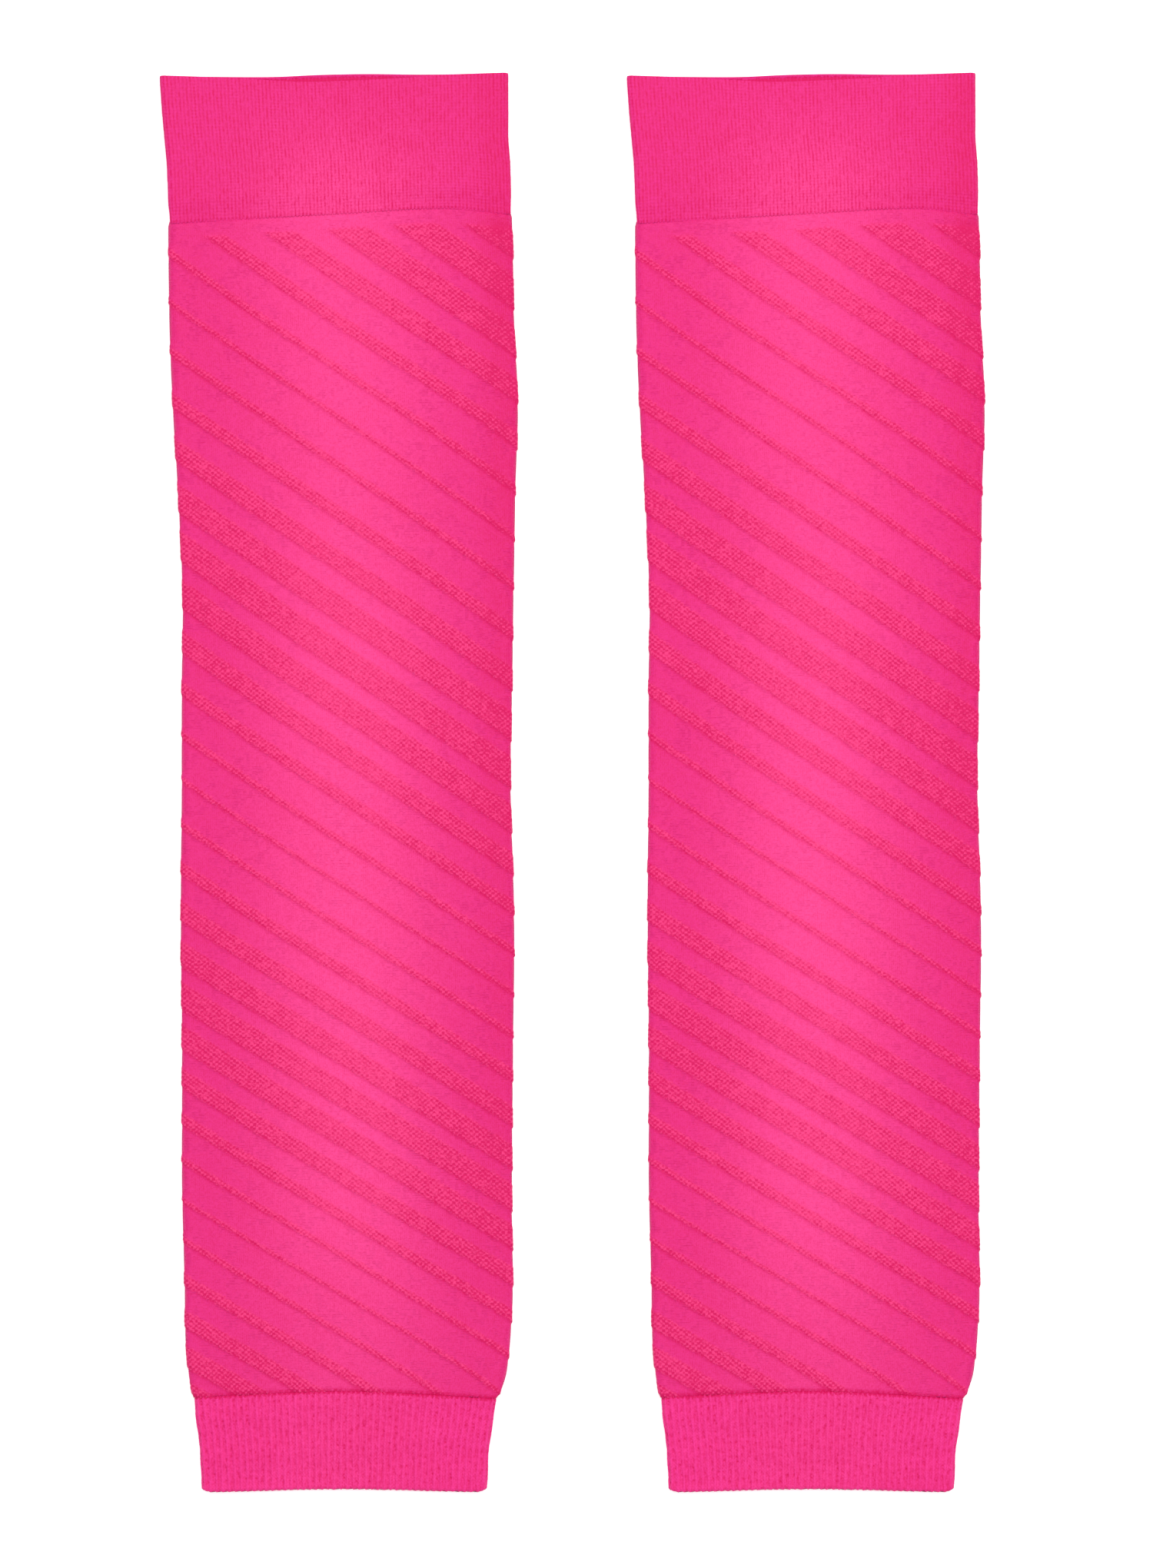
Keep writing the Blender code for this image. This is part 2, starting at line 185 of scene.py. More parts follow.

# How the painted light fades along the body, towards the cuff and towards the upper band.
CUFF_FADE = (0.80, 1.0)
CUFF_FADE_LOSS = 0.55
BAND_FADE = (0.38, 0.20)
BAND_FADE_LOSS = 0.24

# How much painted light the ribbed pieces have: the upper band, its gain down to the seam, and the cuff.
BAND_PAINTED_LIGHT = 0.10
BAND_PAINTED_LIGHT_GAIN = 0.75
CUFF_PAINTED_LIGHT = 0.30

# The painted shade beside the right fold: where it is across a face, and how dark it is.
RIGHT_FOLD_SHADE_SPAN = (0.85, 0.96)
BODY_RIGHT_FOLD_SHADE = 0.38
BODY_RIGHT_FOLD_SHADE_LOSS = 0.33
BAND_RIGHT_FOLD_SHADE = 0.22

# The pucker at the right fold below the upper band, and the painted shade in it.
Pucker = namedtuple("Pucker", "across depth half_width reach_across reach_along deep")
DIMPLE = Pucker(across=0.955, depth=43.5, half_width=48.5, reach_across=3.0, reach_along=2.2, deep=0.45)
DIMPLE_SHADE = 0.40

# The pits beside a seam, the painted shade in them, and how deep one and the end of its stitch are.
Seam = namedtuple("Seam", "spacing relief shade")
BODY_PITS = Seam(spacing=2, relief=1.0, shade=1.0)
BAND_PITS = Seam(spacing=4, relief=0.4, shade=0.85)
CUFF_PITS = Seam(spacing=6, relief=1.0, shade=1.0)
PIT_DEEP = (0.55, 1.0)
PIT_END = (0.0, 0.7)
BODY_SEAM_FINE_ROWS = 4

# The fine rib: its grooves, its loops, the painted shade in a groove, and the small waves of its lower end.
FINE_SHARPNESS = 1.3
LOOP_RELIEF = 0.25
FINE_SHADE = 0.40
FINE_LOOP_SHADE = 0.24
FINE_CHANCE = 0.26
RIB_END_WAVE = 0.35
RIB_END_REACH = 1.0

# The coarse rib: its wandering, its ridges, the painted shade in a groove and a hole, a slow ripple, and
# scallops.
RIB_WANDER = 0.11
RIB_NARROWNESS = 1.8
COARSE_SHADE = 0.24
COARSE_CHANCE = 0.16
HOLE_SHADE = 0.75
RIPPLE_HEIGHT = 0.10
RIPPLE_DOWN = 0.55
RIPPLE_ROUND = 9.0
SCALLOP_DEPTH = 0.22
SCALLOP_FROM = 0.96
SCALLOP_WANDER = 0.25
WANDER_KNOTS = 9
WANDER_SPREAD = 0.5

# Tuck holes: rows to the first and the next ones, rows left free, and sizes within a hole.
HOLE_FIRST_ROW = (2, 6)
HOLE_ROW_STEP = (2, 7)
HOLE_FREE_ROWS = 5
HOLE_SIZE = (0.35, 1.0)
HOLE_SECOND_COLUMN = (0.5, 1.0)
HOLE_SECOND_ROW = (0.0, 0.8)

# Seeds of the stitches and of the pits.
BODY_SEED = 4
BODY_SEAM_SEED = 11
BAND_SEED = 9
CUFF_SEED = 21

# The photograph's frame, the middle of the pair in it and its scale.
PHOTO_WIDTH_PX = 1500
PHOTO_HEIGHT_PX = 2040
PAIR_MIDDLE_X_PX = 744.5
PAIR_MIDDLE_Y_PX = 1018.0
MM_PER_PX = 0.2166

WHITE = (1.0, 1.0, 1.0, 1.0)

# A laid tube. It may be fuller than its sections, and its underside may be drawn in.
FlatTube = namedtuple("FlatTube", "sections height wall upper lower fullness recess")


def settings_of(kind, **limits):
    """A maker of settings of one kind that the panel shows."""

    def make(name, description, default):
        """One setting."""
        return kind(name=name, description=description, default=default, **limits)

    return make


# Lengths are in metres, shares go from 0 to 1, and colours are linear.
a_length = settings_of(bpy.props.FloatProperty, min=0.0, precision=5, unit="LENGTH")
a_count = settings_of(bpy.props.IntProperty, min=1)
a_share = settings_of(bpy.props.FloatProperty, min=0.0, max=1.0, subtype="FACTOR")
a_colour = settings_of(bpy.props.FloatVectorProperty, size=3, min=0.0, max=1.0, subtype="COLOR")


class KnitSizes(bpy.types.PropertyGroup):
    """Sizes and counts of the knit."""

    wales: a_count("Wales", "Columns of ribbed stitches round a sleeve", 376)
    moss_wales: a_count("Moss wales", "Columns of moss stitches round the body", 232)
    moss_courses: a_count("Moss courses", "Rows of moss stitches along the body", 492)
    band_wall: a_length("Band wall", "Thickness of the doubled upper band", 1.5 * MM)
    body_wall: a_length("Body wall", "Thickness of the body's knit", 1.0 * MM)
    cuff_wall: a_length("Cuff wall", "Thickness of the wrist cuff", 1.2 * MM)
    inner_gap: a_length("Inner gap", "Space between a sleeve's two layers", 0.5 * MM)
    winding_raise: a_length("Winding raise", "Height of the winding bands", 0.24 * MM)
    moss_relief: a_length("Moss relief", "Height of the winding bands' stitches", 0.11 * MM)
    crease_depth: a_length("Crease depth", "Depth of the crease below a winding band", 0.12 * MM)
    stitch_unevenness: a_length("Stitch unevenness", "How far ribbed stitches stray in height", 0.02 * MM)
    band_rib_depth: a_length("Upper rib depth", "Depth of the upper band's grooves", 0.20 * MM)
    band_taper: a_length("Band taper", "How much thinner the upper band is at its seam", 0.90 * MM)
    cuff_rib_depth: a_length("Cuff rib depth", "Depth of the cuff's grooves", 0.28 * MM)
    tuck_depth: a_length("Tuck depth", "Depth of the tuck holes", 0.35 * MM)


class KnitWinding(bpy.types.PropertyGroup):
    """How the raised bands wind round the body."""

    starts: a_count("Starts", "Raised bands that wind side by side", 10)
    first_thin_band: a_length("First thin band", "Depth of the first thin band at the left fold", 65.2 * MM)
    first_pitch: a_length("First pitch", "Distance between raised bands there", 14.1 * MM)
    pitch_loss: a_length("Pitch loss", "How much less each next pitch is", 0.143 * MM)
    mean_share: a_share("Mean share", "Mean share of a pitch that is raised", 0.39)
    share_swing: a_share("Share swing", "How far that share rises and falls", 0.27)
    plain_strip: a_length("Plain strip", "Plain knit below the upper band", 4.0 * MM)


class KnitColours(bpy.types.PropertyGroup):
    """Linear colours of the yarns, of the painted light and shade, and of the floor."""

    plain: a_colour("Plain knit", "Yarn of the body", (0.690, 0.0225, 0.190))
    # Colour of the painted light along the middle of a face.
    lit: a_colour("Taut knit", "Knit where it is most taut", (0.825, 0.054, 0.250))
    moss: a_colour("Moss knit", "Yarn of the winding bands", (0.825, 0.048, 0.182))
    # Colour of the painted shade in pits, grooves, holes, creases and at folds; random grain darkens
    # towards it too.
    painted_shade: a_colour("Pits", "Yarn deep between the stitches", (0.600, 0.004, 0.100))
    rib: a_colour("Upper rib", "Yarn of the upper band", (0.700, 0.0235, 0.207))
    cuff: a_colour("Cuff rib", "Yarn of the wrist cuff", (0.785, 0.033, 0.243))
    floor: a_colour("Floor", "The pale floor", (0.98, 0.98, 0.98))


def read_curve(rows, column, at):
    """Reads a table's column at many positions, along a smooth curve through its rows."""
    places = np.array([row[0] for row in rows])
    values = np.array([getattr(row, column) for row in rows])
    at = np.clip(at, places[0], places[-1])
    slopes = np.empty(len(rows))
    slopes[1:-1] = (values[2:] - values[:-2]) / (places[2:] - places[:-2])
    slopes[0] = (values[1] - values[0]) / (places[1] - places[0])
    slopes[-1] = (values[-1] - values[-2]) / (places[-1] - places[-2])
    low = np.clip(np.searchsorted(places, at, side="right") - 1, 0, len(rows) - 2)
    span = places[low + 1] - places[low]
    share = (at - places[low]) / span
    ease = share * share * (3.0 - 2.0 * share)
    start_pull = share * (1.0 - share) ** 2 * span * slopes[low]
    end_pull = -share * share * (1.0 - share) * span * slopes[low + 1]
    return values[low] + ease * (values[low + 1] - values[low]) + start_pull + end_pull


def smooth_step(low, high, value):
    """0 below low, 1 above high, and an even S between them."""
    share = np.clip((value - low) / (high - low), 0.0, 1.0)
    return share * share * (3.0 - 2.0 * share)


def way_across(turn):
    """0 at the left fold and 1 at the right fold, over the front and under the back alike."""
    return np.where(turn <= HALF_ROUND, turn, 1.0 - turn) * 2.0


def edge_depth(edge, turn):
    """The depth of an edge round a tube."""
    across = np.clip((way_across(turn) - FOLD_SHARE) / (1.0 - 2.0 * FOLD_SHARE), 0.0, 1.0)
    front, back = (read_curve(course, "depth", across) for course in edge)
    return np.where(turn <= HALF_ROUND, front, back)


def outer_points(tube, turn, depth, lift, inset=0.0):
    """Points of a flattened tube with round folds, lifted off its surface or set in from it."""
    left = -read_curve(tube.sections, "left", depth) - tube.fullness + inset
    right = read_curve(tube.sections, "right", depth) + tube.fullness - inset
    radius = tube.height / 2.0 - inset
    quarter = radius * math.pi / 2.0
    flat = right - left - 2.0 * radius
    half = flat + 2.0 * quarter
    travelled = way_across(turn) * half
    left_angle = np.clip(travelled / radius, 0.0, math.pi / 2.0)
    right_angle = np.clip((half - travelled) / radius, 0.0, math.pi / 2.0)
    face = np.where(turn <= HALF_ROUND, 1.0, -1.0)
    rise = np.minimum(np.sin(left_angle), np.sin(right_angle)) * face
    reach = radius + lift - tube.recess * np.maximum(-rise, 0.0)
    x = left + radius + np.clip(travelled - quarter, 0.0, flat)
    x = x - reach * np.cos(left_angle) + reach * np.cos(right_angle)
    z = tube.height / 2.0 + reach * rise
    return np.stack([x, -depth, z], axis=-1) * MM


def laid_tube(sections, wall, upper, lower, fullness=0.0, recess=0.0):
    """A tube laid flat: two layers of cloth with the gap between them."""
    height = 2.0 * wall + bpy.context.scene.knit_sizes.inner_gap / MM
    return FlatTube(sections, height, wall, upper, lower, fullness, recess)


def shifted(edges, by):
    """An edge's courses on the front and on the back, moved down the sleeve."""
    return tuple(tuple(point._replace(depth=point.depth + by) for point in edge) for edge in edges)


class WovenGrid:
    """A ring-shaped grid of places on a tube that is finer where its relief needs it."""

    def __init__(self, tube, columns, rows):
        self.tube = tube
        self.columns = columns
        self.rows = rows
        self.turn = np.tile(np.arange(columns) / columns, (rows + 1, 1))
        self.along = np.tile(np.linspace(0.0, 1.0, rows + 1)[:, None], (1, columns))
        self.on_front = (self.turn < HALF_ROUND + FRONT_MARGIN) | (self.turn > 1.0 - FRONT_MARGIN)
        upper = edge_depth(tube.upper, self.turn)
        lower = edge_depth(tube.lower, self.turn)
        self.depth = upper + (lower - upper) * self.along
        self.from_upper = self.depth - upper
        self.to_lower = lower - self.depth

    def rounded_ends(self, radius):
        """How far the outer face turns in at the tube's open ends."""
        near = np.clip(np.minimum(self.from_upper, self.to_lower), 0.0, radius)
        return radius - np.sqrt(np.maximum(radius * radius - (radius - near) ** 2, 0.0))

    def quads(self, row, column):
        """Four-sided faces of single cells, as corner numbers."""
        after = (column + 1) % self.columns
        width = self.columns
        corners = (row * width + column, (row + 1) * width + column)
        corners += ((row + 1) * width + after, row * width + after)
        return np.stack(corners, axis=-1)

    def dotted(self, row, column):
        """Three-sided faces of single cells, cut so that every other stitch stands as a dot of its own."""
        corners = self.quads(row, column)
        dot_first = ((row + column) % 2 == 0)[:, None]
        first = np.where(dot_first, corners[:, [0, 1, 3]], corners[:, [0, 1, 2]])
        second = np.where(dot_first, corners[:, [1, 2, 3]], corners[:, [0, 2, 3]])
        return np.concatenate([first, second]).tolist()

    def even_faces(self):
        """Four-sided faces over the whole grid."""
        row, column = np.meshgrid(np.arange(self.rows), np.arange(self.columns), indexing="ij")
        return self.quads(row.ravel(), column.ravel())

    def graded_faces(self, levels):
        """Faces whose sizes follow levels: blocks of 1, 2 or 4 cells a side for levels 0, 1 and 2.

        A coarse face takes in the points that its finer neighbours use, so that no edge is left open."""
        used = np.zeros((self.rows + 1, self.columns), dtype=bool)
        blocks = []
        for level in range(int(levels.max()) + 1):
            step = 2**level
            row, column = np.nonzero(levels[::step, ::step] == level)
            row = row * step
            column = column * step
            blocks.append((step, row, column))
            for down in (0, step):
                for over in (0, step):
                    used[row + down, (column + over) % self.columns] = True
        faces = self.dotted(blocks[0][1], blocks[0][2])
        for step, rows, columns in blocks[1:]:
            steps = np.arange(step)
            full = np.full(step, step)
            none = np.zeros(step, dtype=int)
            row = rows[:, None] + np.concatenate([steps, full, step - steps, none])
            column = (columns[:, None] + np.concatenate([none, steps, full, step - steps])) % self.columns
            keep = used[row, column]
            number = row * self.columns + column
            faces.extend(number[i][keep[i]].tolist() for i in range(len(number)))
        return faces, used


def block_levels(fine_cells, coarsest):
    """The level of each cell: 0 in a block with fine cells, and up to coarsest in blocks without any."""
    levels = np.zeros(fine_cells.shape, dtype=int)
    for level in range(1, int(coarsest.max()) + 1):
        step = 2**level
        shape = (fine_cells.shape[0] // step, step, fine_cells.shape[1] // step, step)
        free = ~fine_cells.reshape(shape).any(axis=(1, 3))
        free &= (coarsest.reshape(shape) >= level).all(axis=(1, 3))
        levels[np.repeat(np.repeat(free, step, axis=0), step, axis=1)] = level
    return levels


def uneven(grid, height, seed):
    """A slow, soft unevenness of a height either way."""
    rng = np.random.default_rng(seed)
    total = np.zeros(grid.turn.shape)
    for _ in range(UNEVEN_WAVES):
        around = rng.integers(*UNEVEN_AROUND)
        length = rng.uniform(*UNEVEN_LENGTHS)
        shift = rng.uniform(0.0, math.tau)
        total += np.sin(math.tau * (around * grid.turn + grid.depth / length) + shift) / UNEVEN_WAVES
    return height * total


def off_folds(turn):
    """0 on the outermost line of a fold, and 1 on the flat part of a face."""
    across = way_across(turn)
    return smooth_step(0.0, FOLD_REACH, np.minimum(across, 1.0 - across))


def relief_share(turn):
    """The share of its relief that the knit keeps: less on a fold, which stretches it."""
    return FOLD_RELIEF + (1.0 - FOLD_RELIEF) * off_folds(turn)


def painted_light_share(turn, strength):
    """How much painted light the knit gets: most along the middle of a face, and none at its folds."""
    away = np.abs(way_across(turn) - PALE_MIDDLE) / PALE_REACH
    return strength * smooth_step(0.0, 1.0, 1.0 - away)


def right_fold_shade_share(turn, strength):
    """How much painted shade lies beside the right fold."""
    return strength * smooth_step(*RIGHT_FOLD_SHADE_SPAN, way_across(turn))


def dimple(grid):
    """How much of the small pucker at the right fold, just below the upper band, is felt at each place."""
    width = 2.0 * (DIMPLE.across - way_across(grid.turn)) * DIMPLE.half_width
    reach = (width / DIMPLE.reach_across) ** 2 + ((grid.depth - DIMPLE.depth) / DIMPLE.reach_along) ** 2
    return np.where(grid.turn <= HALF_ROUND, np.exp(-reach), 0.0)


def band_drift(turn, depth):
    """How far a band at a depth runs above an even helix."""
    wave = np.cos(math.tau * (depth - DRIFT_CREST_DEPTH) / DRIFT_LENGTH)
    skew = smooth_step(SKEW_FROM_ACROSS, 1.0, way_across(turn))
    skew = skew * (1.0 - smooth_step(*SKEW_FADES, depth))
    return DRIFT_MEAN + DRIFT_SWING * wave + SKEW_LIFT * skew


class WindingRelief:
    """Where the moss-stitch bands wind over a grid, and how high they stand there."""

    def __init__(self, winding, turn, depth, below_seam):
        pitch = winding.first_pitch / MM
        loss = winding.pitch_loss / MM
        below_thin = depth + band_drift(turn, depth) - winding.first_thin_band / MM
        travelled = (pitch - np.sqrt(pitch * pitch - 2.0 * loss * below_thin)) / loss
        self.winding = winding
        self.turns = travelled - winding.starts * turn
        number = np.round(self.turns)
        half = self.share(number) / 2.0
        offset = self.turns - number
        local_pitch = pitch - loss * travelled
        above = np.where(offset > half, number, number - 1.0)
        self.started = smooth_step(0.0, START_RISE, below_seam - winding.plain_strip / MM)
        self.inside = (np.abs(offset) < half) & (self.started > 0.5)
        self.place = np.clip((offset + half) / (2.0 * half), 0.0, 1.0)
        self.below_band = np.maximum(self.turns - above - self.share(above) / 2.0, 0.0) * local_pitch

    def share(self, number):
        """The share of its pitch that a band takes."""
        swing = self.winding.share_swing * np.cos(math.tau * number / self.winding.starts)
        return self.winding.mean_share - swing

    def height(self, full):
        """A band rises towards its lower edge, where it ends in a step."""
        return full * (WINDING_UPPER_SHARE + WINDING_STEP_SHARE * self.place)


def body_relief(sizes, relief, grid):
    """The height of each stitch of the body, how dark it is, and which cells need single stitches."""
    rng = np.random.default_rng(BODY_SEED)
    shape = grid.turn.shape
    row = np.arange(grid.rows + 1)[:, None]
    column = np.arange(grid.columns)[None, :]
    high_stitch = (row + column) % 2 == 0
    jitter = rng.normal(0.0, 1.0, shape)
    stitch = np.where(high_stitch, 1.0, LOW_STITCH) + STITCH_JITTER * jitter
    stitch_height = sizes.moss_relief / MM * relief_share(grid.turn)
    stand = relief.height(sizes.winding_raise / MM) + stitch_height * stitch
    crease = -sizes.crease_depth / MM * np.exp(-relief.below_band / CREASE_REACH) * relief.started
    lift = np.where(relief.inside, stand, crease)
    near_edge = np.exp(-relief.below_band / CREASE_SHADE_REACH) * relief.started * ~relief.inside
    painted_shade = CREASE_SHADE * near_edge * rng.uniform(CREASE_SHADE_LEAST, 1.0, shape)
    cells = relief.inside | np.roll(relief.inside, -1, axis=1)
    cells = (cells[:-1] | cells[1:]) & grid.on_front[:-1]
    return lift, painted_shade, cells


def seam_pits(seam, rng, edge_rows, lift, painted_shade):
    """Cloth with uneven pits, one every few columns, in the rows of stitches beside a seam, and painted
    shade in them.
    """
    pits = np.zeros(lift.shape)
    for column in range(0, lift.shape[1], seam.spacing):
        row = edge_rows[int(rng.integers(0, len(edge_rows)))]
        pits[row, column] = rng.uniform(*PIT_DEEP)
        pits[row, (column + 1) % lift.shape[1]] = rng.uniform(*PIT_END)
    lift = lift - seam.relief * bpy.context.scene.knit_sizes.tuck_depth / MM * pits
    return lift, np.maximum(painted_shade, seam.shade * pits)


def blurred_down(values):
    """Random values that change more slowly down a rib than across it."""
    return (values + np.roll(values, 1, axis=0) + np.roll(values, 2, axis=0)) / math.sqrt(3.0)


def body_mesh():
    """The seamless body with its moss-stitch bands, tucked a little into its neighbours."""
    sizes = bpy.context.scene.knit_sizes
    upper, lower = shifted(BAND_SEAM, -SEAM_TUCK), shifted(CUFF_SEAM, SEAM_TUCK / 2.0)
    recess = (sizes.winding_raise + sizes.moss_relief) / MM
    tube = laid_tube(BODY_SECTIONS, sizes.body_wall / MM, upper, lower, BODY_FULLNESS, recess)
    grid = WovenGrid(tube, sizes.moss_wales, sizes.moss_courses)
    winding = bpy.context.scene.knit_winding
    relief = WindingRelief(winding, grid.turn, grid.depth, grid.from_upper - SEAM_TUCK)
    lift, painted_shade, cells = body_relief(sizes, relief, grid)
    rng = np.random.default_rng(BODY_SEAM_SEED)
    lift, painted_shade = seam_pits(BODY_PITS, rng, [grid.rows - 1], lift, painted_shade)
    cells[-BODY_SEAM_FINE_ROWS:] |= grid.on_front[-BODY_SEAM_FINE_ROWS - 1 : -1]
    pucker = dimple(grid)
    lift = lift + uneven(grid, *BODY_UNEVEN) - DIMPLE.deep * pucker
    # Painted shade in the pucker.
    painted_shade = painted_shade + DIMPLE_SHADE * pucker
    # Painted shade beside the right fold.
    painted_shade = painted_shade + right_fold_shade_share(grid.turn, BODY_RIGHT_FOLD_SHADE - BODY_RIGHT_FOLD_SHADE_LOSS * grid.along)
    lift = lift - grid.rounded_ends(BODY_END_ROUND)
    stray = rng.normal(0.0, STITCH_STRAY, (2, *lift.shape)) * relief.inside
    turn = (grid.turn + stray[0] / grid.columns) % 1.0
    points = outer_points(tube, turn, grid.depth + stray[1] * COURSE_HEIGHT, lift)
    graded = grid.graded_faces(block_levels(cells, np.where(grid.on_front[:-1], 1, 2)))
    # Painted light along the middle of a face, fading towards the cuff and the upper band.
    pale = 1.0 - CUFF_FADE_LOSS * smooth_step(*CUFF_FADE, grid.along)
    pale = pale - BAND_FADE_LOSS * smooth_step(*BAND_FADE, grid.along)
    tones = (painted_light_share(grid.turn, pale), painted_shade)
    return closed_cloth("body", grid, graded, points, tones, sizes.moss_wales, BODY_INSIDE_ROWS)


def ribbed_faces(grid):
    """The faces of a ribbed piece: single cells on its front and blocks of them on its back."""
    cells = grid.on_front[:-1]
    return grid.graded_faces(block_levels(cells, np.where(cells, 0, 1)))


def upper_band_mesh():
    """The doubled welt in fine rib, one ridge and one groove for every two wales."""
    sizes = bpy.context.scene.knit_sizes
    tube = laid_tube(BAND_SECTIONS, sizes.band_wall / MM, TOP_EDGE, BAND_SEAM)
    grid = WovenGrid(tube, sizes.wales * POINTS_PER_WALE, BAND_ROWS)
    rng = np.random.default_rng(BAND_SEED)
    ridge = 0.5 - 0.5 * np.cos(math.tau * grid.turn * sizes.wales / WALES_PER_FINE_RIB)
    row = np.arange(grid.rows + 1)[:, None]
    rib = np.arange(grid.columns)[None, :] // FINE_RIB_POINTS
    stagger = rng.uniform(0.0, ROWS_PER_LOOP, grid.columns // FINE_RIB_POINTS)[rib]
    loop = 0.5 + 0.5 * np.cos(math.tau * (row + stagger) / ROWS_PER_LOOP)
    jitter = blurred_down(rng.normal(0.0, 1.0, ridge.shape))
    groove = (1.0 - ridge) ** FINE_SHARPNESS
    lift = -sizes.band_rib_depth / MM * groove * (1.0 - LOOP_RELIEF + LOOP_RELIEF * loop)
    lift = lift + sizes.stitch_unevenness / MM * jitter * grid.on_front
    shade = FINE_SHADE + FINE_LOOP_SHADE * loop + FINE_CHANCE * jitter
    # Painted shade in the grooves.
    painted_shade = groove * np.clip(shade, 0.0, 1.0)
    last = grid.rows - 1
    lift, painted_shade = seam_pits(BAND_PITS, rng, [last, last, last - 1], lift, painted_shade)
    # Painted shade beside the right fold.
    painted_shade = painted_shade + right_fold_shade_share(grid.turn, BAND_RIGHT_FOLD_SHADE)
    taper = (1.0 - smooth_step(0.0, BAND_TAPER_REACH, grid.to_lower)) * relief_share(grid.turn)
    lift = lift - sizes.band_taper / MM * taper
    lift = lift + uneven(grid, *BAND_UNEVEN)
    lift = lift - grid.rounded_ends(BAND_END_ROUND)
    ends = smooth_step(RIB_END_REACH, 0.0, grid.to_lower) * (grid.turn < HALF_ROUND)
    points = outer_points(tube, grid.turn, grid.depth + RIB_END_WAVE * (ridge - 0.5) * ends, lift)
    # Painted light along the middle of a face, growing down to the seam.
    pale = BAND_PAINTED_LIGHT + BAND_PAINTED_LIGHT_GAIN * smooth_step(0.0, 1.0, grid.along)
    tones = (painted_light_share(grid.turn, pale), painted_shade)
    graded = ribbed_faces(grid)
    return closed_cloth("upper_band", grid, graded, points, tones, sizes.wales, BAND_INSIDE_ROWS)


def wrist_cuff_mesh():
    """The coarser ribbed cuff with tuck holes here and there in its grooves."""
    sizes = bpy.context.scene.knit_sizes
    tube = laid_tube(CUFF_SECTIONS, sizes.cuff_wall / MM, CUFF_SEAM, BOTTOM_EDGE)
    grid = WovenGrid(tube, sizes.wales * POINTS_PER_WALE, CUFF_ROWS)
    rng = np.random.default_rng(CUFF_SEED)
    ribs = sizes.wales // WALES_PER_COARSE_RIB
    wander = wandering(grid.turn.shape, ribs, rng)
    ridge = 0.5 + 0.5 * np.cos(math.tau * (grid.turn * ribs + RIB_WANDER * wander))
    ridge = ridge**RIB_NARROWNESS
    jitter = rng.normal(0.0, 1.0, ridge.shape)
    holes = tuck_holes(ridge.shape, ribs, rng)
    lift = -sizes.cuff_rib_depth / MM * (1.0 - ridge) - sizes.tuck_depth / MM * holes
    lift = lift + sizes.stitch_unevenness / MM * jitter * grid.on_front
    shade = COARSE_SHADE + COARSE_CHANCE * blurred_down(jitter)
    # Painted shade in the grooves and in the tuck holes.
    painted_shade = (1.0 - ridge) * np.clip(shade, 0.0, 1.0)
    painted_shade = np.maximum(painted_shade, HOLE_SHADE * holes)
    lift, painted_shade = seam_pits(CUFF_PITS, rng, [0, 1], lift, painted_shade)
    lift = lift + uneven(grid, *CUFF_UNEVEN)
    lift = lift + RIPPLE_HEIGHT * np.sin(RIPPLE_DOWN * grid.depth + RIPPLE_ROUND * grid.turn)
    lift = lift - grid.rounded_ends(CUFF_END_ROUND)
    ends = smooth_step(SCALLOP_FROM, 1.0, grid.along) * (grid.turn < HALF_ROUND)
    scallop = (ridge - 0.5 + SCALLOP_WANDER * wander) * ends
    points = outer_points(tube, grid.turn, grid.depth + SCALLOP_DEPTH * scallop, lift)
    # Painted light along the middle of a face, and the painted shade.
    tones = (painted_light_share(grid.turn, CUFF_PAINTED_LIGHT), painted_shade)
    graded = ribbed_faces(grid)
    return closed_cloth("wrist_cuff", grid, graded, points, tones, sizes.wales, CUFF_INSIDE_ROWS)


def wandering(shape, ribs, rng):
    """A smooth random drift down each rib, about -1 to 1."""
    rows, columns = shape
    knots = np.linspace(0.0, rows - 1.0, WANDER_KNOTS)
    drift = rng.normal(0.0, WANDER_SPREAD, (len(knots), ribs))
    down = np.arange(rows)
    by_rib = np.stack([np.interp(down, knots, drift[:, rib]) for rib in range(ribs)], axis=1)
    return np.repeat(by_rib, columns // ribs, axis=1)


def tuck_holes(shape, ribs, rng):
    """Holes of uneven size and spacing down each groove of the cuff."""
    rows, columns = shape
    holes = np.zeros(shape)
    step = columns // ribs
    for rib in range(ribs):
        row = int(rng.integers(*HOLE_FIRST_ROW))
        while row < rows - HOLE_FREE_ROWS:
            column = rib * step + step // 2 + int(rng.integers(-1, 2))
            size = rng.uniform(*HOLE_SIZE)
            holes[row, column % columns] = size
            holes[row, (column + 1) % columns] = size * rng.uniform(*HOLE_SECOND_COLUMN)
            holes[row + 1, column % columns] = size * rng.uniform(*HOLE_SECOND_ROW)
            row += int(rng.integers(*HOLE_ROW_STEP))
    return holes


